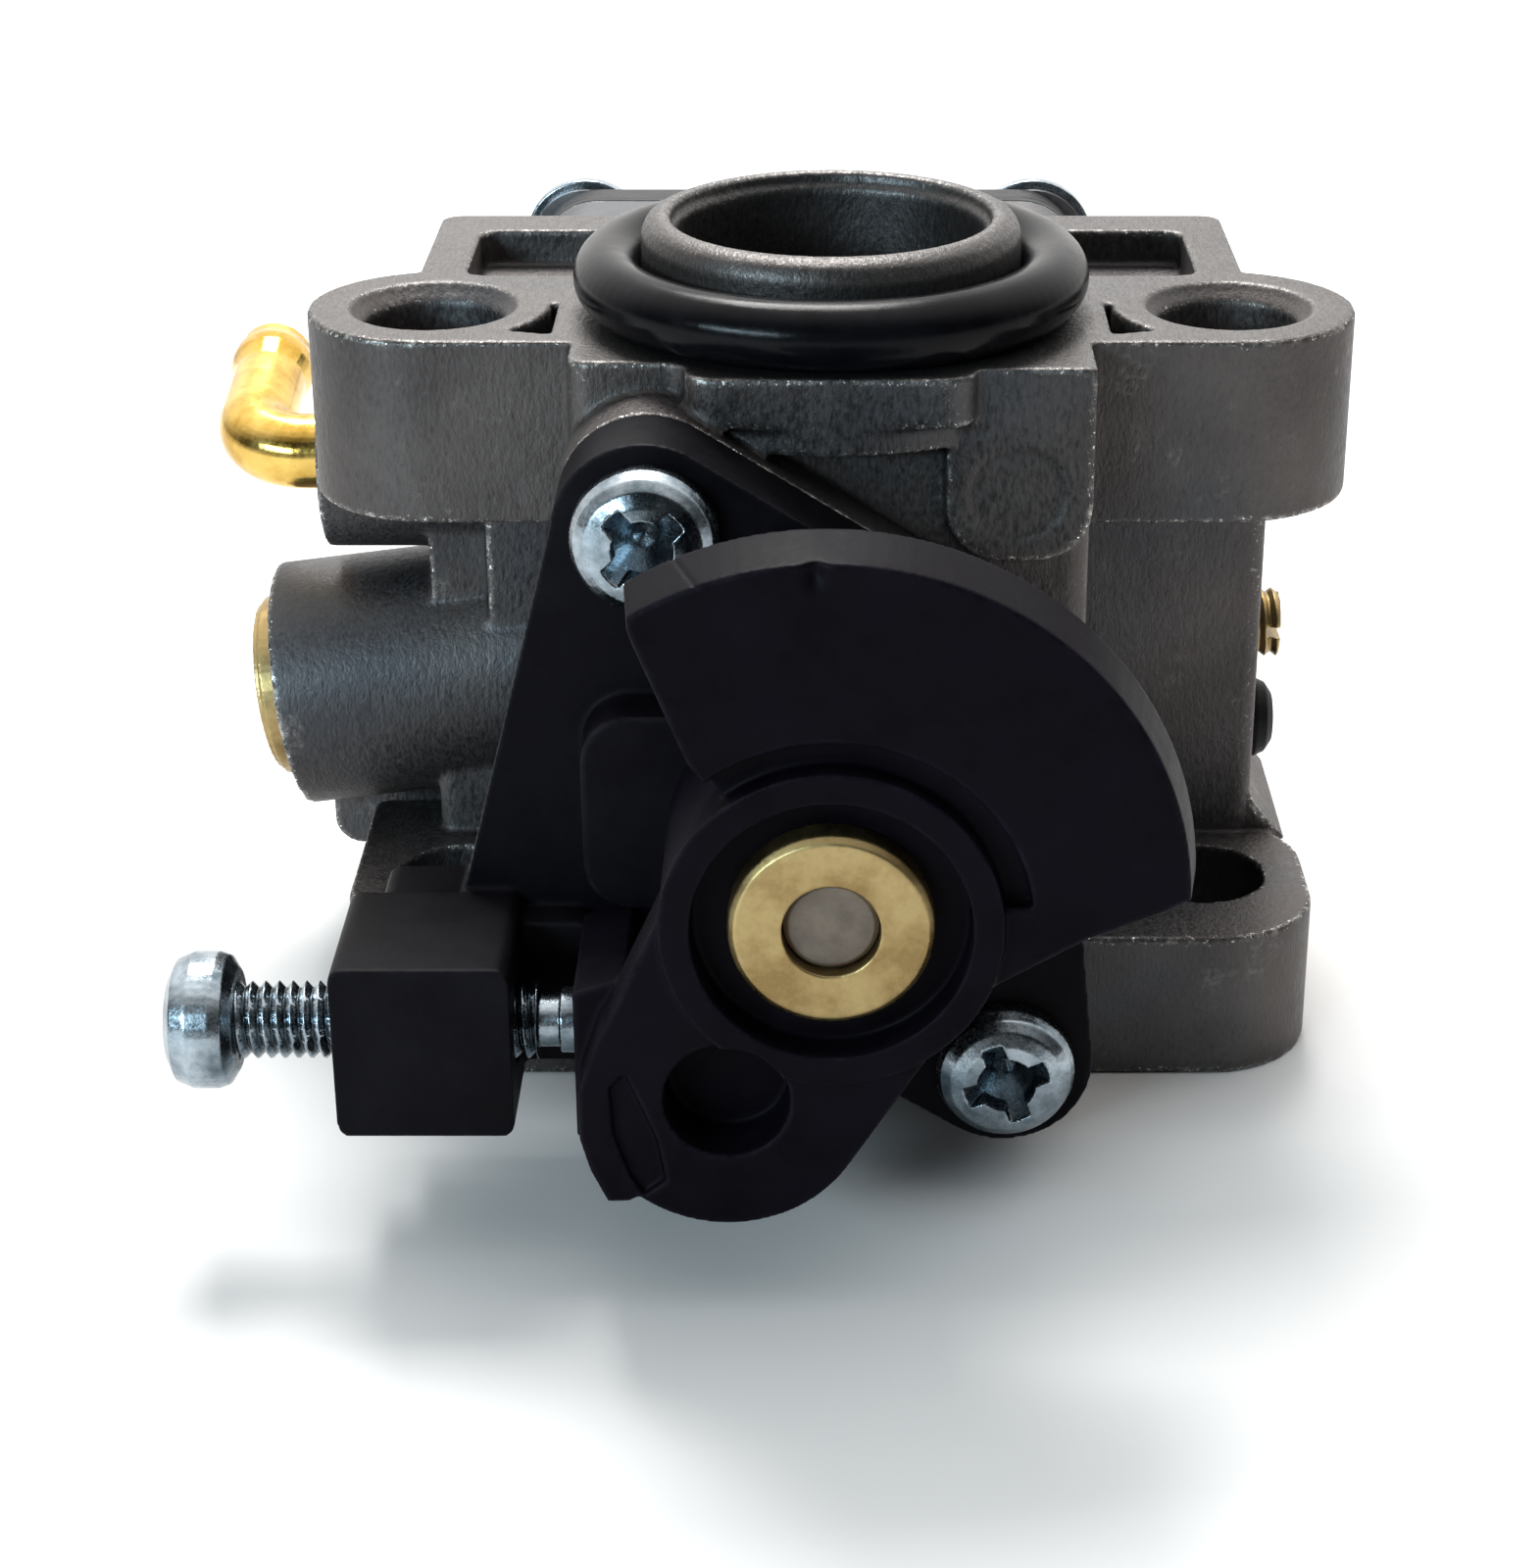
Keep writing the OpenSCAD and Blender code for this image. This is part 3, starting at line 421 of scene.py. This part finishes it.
def lever_shape(points):
    """Leans the sector's rim outwards towards its back, nicks its front edge and scratches it."""
    x, depth, z = points[:, 0], points[:, 1] - LEVER_FRONT_Y, points[:, 2]
    u, v = x - SECTOR_CENTRE[0], z - SECTOR_CENTRE[1]
    radius = np.hypot(u, v)
    rim = np.clip((radius - 11.6) / 0.8, 0, 1) * np.clip((v + 2.5) / 1.0, 0, 1)
    back = np.clip(depth / 2.5, 0, 1)
    grow = rim * (0.42 * back - 0.2)
    points[:, 0] += u / radius * grow
    points[:, 2] += v / radius * grow
    nick = np.exp(-(((x + 0.55) / 0.35) ** 2 + ((z - 28.75) / 0.5) ** 2) - (depth / 0.4) ** 2)
    points[:, 1] += 0.3 * nick
    scratch = np.exp(-((x + 4.445 + 0.35 * (points[:, 1] - LEVER_FRONT_Y)) / 0.07) ** 2)
    points[:, 2] -= 0.05 * scratch * (radius > 12.2) * (v > 0)


# ---------- the carburetor ----------

# node: finish, slot, voxel in mm, smoothing rounds, triangles, blur rounds, shape
SKINS = {
    "body_casting": (CAST, "cast_body", 0.14, 5, 185000, 2, None),
    "throttle_cover": (PLASTIC_COVER, "cover_plastic", 0.1, 4, 90000, 2, None),
    "throttle_lever": (PLASTIC, "lever_plastic", 0.09, 4, 120000, 2, lever_shape),
    "throttle_cover_screws": (ZINC, "zinc_screws", 0.05, 2, 110000, 2, None),
    "idle_speed_screw": (ZINC, "idle_screw_zinc", 0.045, 2, 110000, 1, idle_screw_shape),
    "passage_plug": (SATIN_BRASS, "threaded_brass", 0.045, 2, 40000, 1, passage_plug_shape),
    "fuel_inlet_elbow": (POLISHED_BRASS, "elbow_brass", 0.06, 4, 70000, 2, None),
    "needle_sleeve": (SATIN_BRASS, "sleeve_brass", 0.06, 2, 60000, 2, None),
    "needle_plug": (PLUG, "needle_plug_plastic", 0.04, 2, 20000, 2, None),
    "intake_o_ring": (RUBBER, "o_ring", 0.09, 3, 70000, 2, None),
    "boss_plug": (SATIN_BRASS, "plug_brass", 0.06, 2, 30000, 2, None),
    "rubber_cap": (DULL_RUBBER, "cap_rubber", 0.05, 3, 30000, 2, None),
    "metering_body": (STACK_CAST, "metering_cast", 0.11, 3, 110000, 2, None),
    "metering_cover": (BACK_PLATE, "back_cover_metal", 0.11, 3, 60000, 2, None),
    "metering_cover_screws": (ZINC, "back_screws_zinc", 0.07, 2, 110000, 2, None),
}
# CAD nodes that stay as they are and only get a finish
FINISHES = {
    "main_nozzle": SATIN_BRASS, "main_jet": SATIN_BRASS, "inlet_screen": STEEL,
    "dust_seal": DULL_RUBBER, "thrust_washer": STEEL, "return_spring": STEEL,
    "throttle_barrel": BORE, "metering_needle": SATIN_BRASS, "needle_spring": STEEL,
    "pump_gasket": GASKET, "pump_diaphragm": MEMBRANE, "check_valve": SATIN_BRASS,
    "metering_lever_pin": STEEL, "pin_screw": ZINC, "metering_lever": STEEL,
    "metering_spring": STEEL, "inlet_needle": STEEL, "metering_gasket": GASKET,
    "metering_diaphragm": MEMBRANE, "diaphragm_button": STEEL, "lock_washers": STEEL,
}
for node, how in SKINS.items():
    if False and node.startswith("metering"):
        FINISHES[node] = how[0]
    else:
        skin(node, *how)
for node, mat in FINISHES.items():
    for material_slot in NODES[node].material_slots:
        material_slot.material = mat

# ---------- floor, lights and camera ----------


def floor():
    """A plain pale floor, just under the part's lowest face."""
    f = Finish("pale_floor", Specular_IOR_Level=0.3, Roughness=0.55)
    f.set(Base_Color=f.mix(f.span(f.noise(60, 2), 0.3, 0.7), (0.6, 0.6, 0.6), (0.63, 0.63, 0.63)))
    mesh = bpy.data.meshes.new("floor")
    mesh.from_pydata([(-3, -3, 0), (3, -3, 0), (3, 3, 0), (-3, 3, 0)], [], [(0, 1, 2, 3)])
    mesh.materials.append(f.mat)
    obj = link(bpy.data.objects.new("floor", mesh))
    obj.location.z = -0.00002


def area_light(name, where, target, size, power, colour):
    lamp = bpy.data.lights.new(name, "AREA")
    lamp.shape = "RECTANGLE"
    lamp.size, lamp.size_y = size
    lamp.energy = power
    lamp.color = colour
    obj = link(bpy.data.objects.new(name, lamp))
    obj.location = where
    obj.rotation_euler = (Vector(where) - Vector(target)).to_track_quat("Z", "Y").to_euler()


def studio():
    """A bright room behind and above, dark in front, with a cool window on the left."""
    world = bpy.data.worlds.new("studio")
    bpy.context.scene.world = world
    world.use_nodes = True
    tree = world.node_tree
    back = tree.nodes["Background"]
    way = tree.nodes.new("ShaderNodeTexCoord")
    lean = tree.nodes.new("ShaderNodeVectorMath")
    lean.operation = "DOT_PRODUCT"
    lean.inputs[1].default_value = (0, 0.62, 0.69)
    tree.links.new(way.outputs["Generated"], lean.inputs[0])
    glow = tree.nodes.new("ShaderNodeMapRange")
    glow.interpolation_type = "SMOOTHSTEP"
    # from and to: how far the direction leans to the bright side, and the light it gives
    for socket, v in zip(glow.inputs[1:5], (-0.05, 0.8, 0.05, 1.8)):
        socket.default_value = v
    tree.links.new(lean.outputs["Value"], glow.inputs[0])
    back.inputs[0].default_value = (1.0, 0.985, 0.965, 1)
    tree.links.new(glow.outputs[0], back.inputs[1])
    area_light("window", (-0.21, -0.25, 0.125), (-0.02, 0, 0.012), (0.2, 0.04), 0.85,
               (0.66, 0.88, 1))
    area_light("key", (-0.04, 0.26, 0.45), (0, 0, 0.01), (0.2, 0.2), 3.5, (1, 0.985, 0.96))
    bpy.context.scene.view_settings.view_transform = "Standard"


TILT = 24.73  # degrees that the camera looks down


def camera():
    """Looks down at the lever's side by the angle of the picture."""
    data = bpy.data.cameras.new("camera")
    data.lens = 74.25
    data.sensor_width = 36
    data.shift_x = -0.039
    data.clip_start = 0.01
    obj = link(bpy.data.objects.new("camera", data))
    obj.location = (0, -0.12239, 0.06679)
    obj.rotation_euler = (math.radians(90 - TILT), 0, 0)
    bpy.context.scene.camera = obj


floor()
studio()
camera()

bpy.context.view_layer.update()
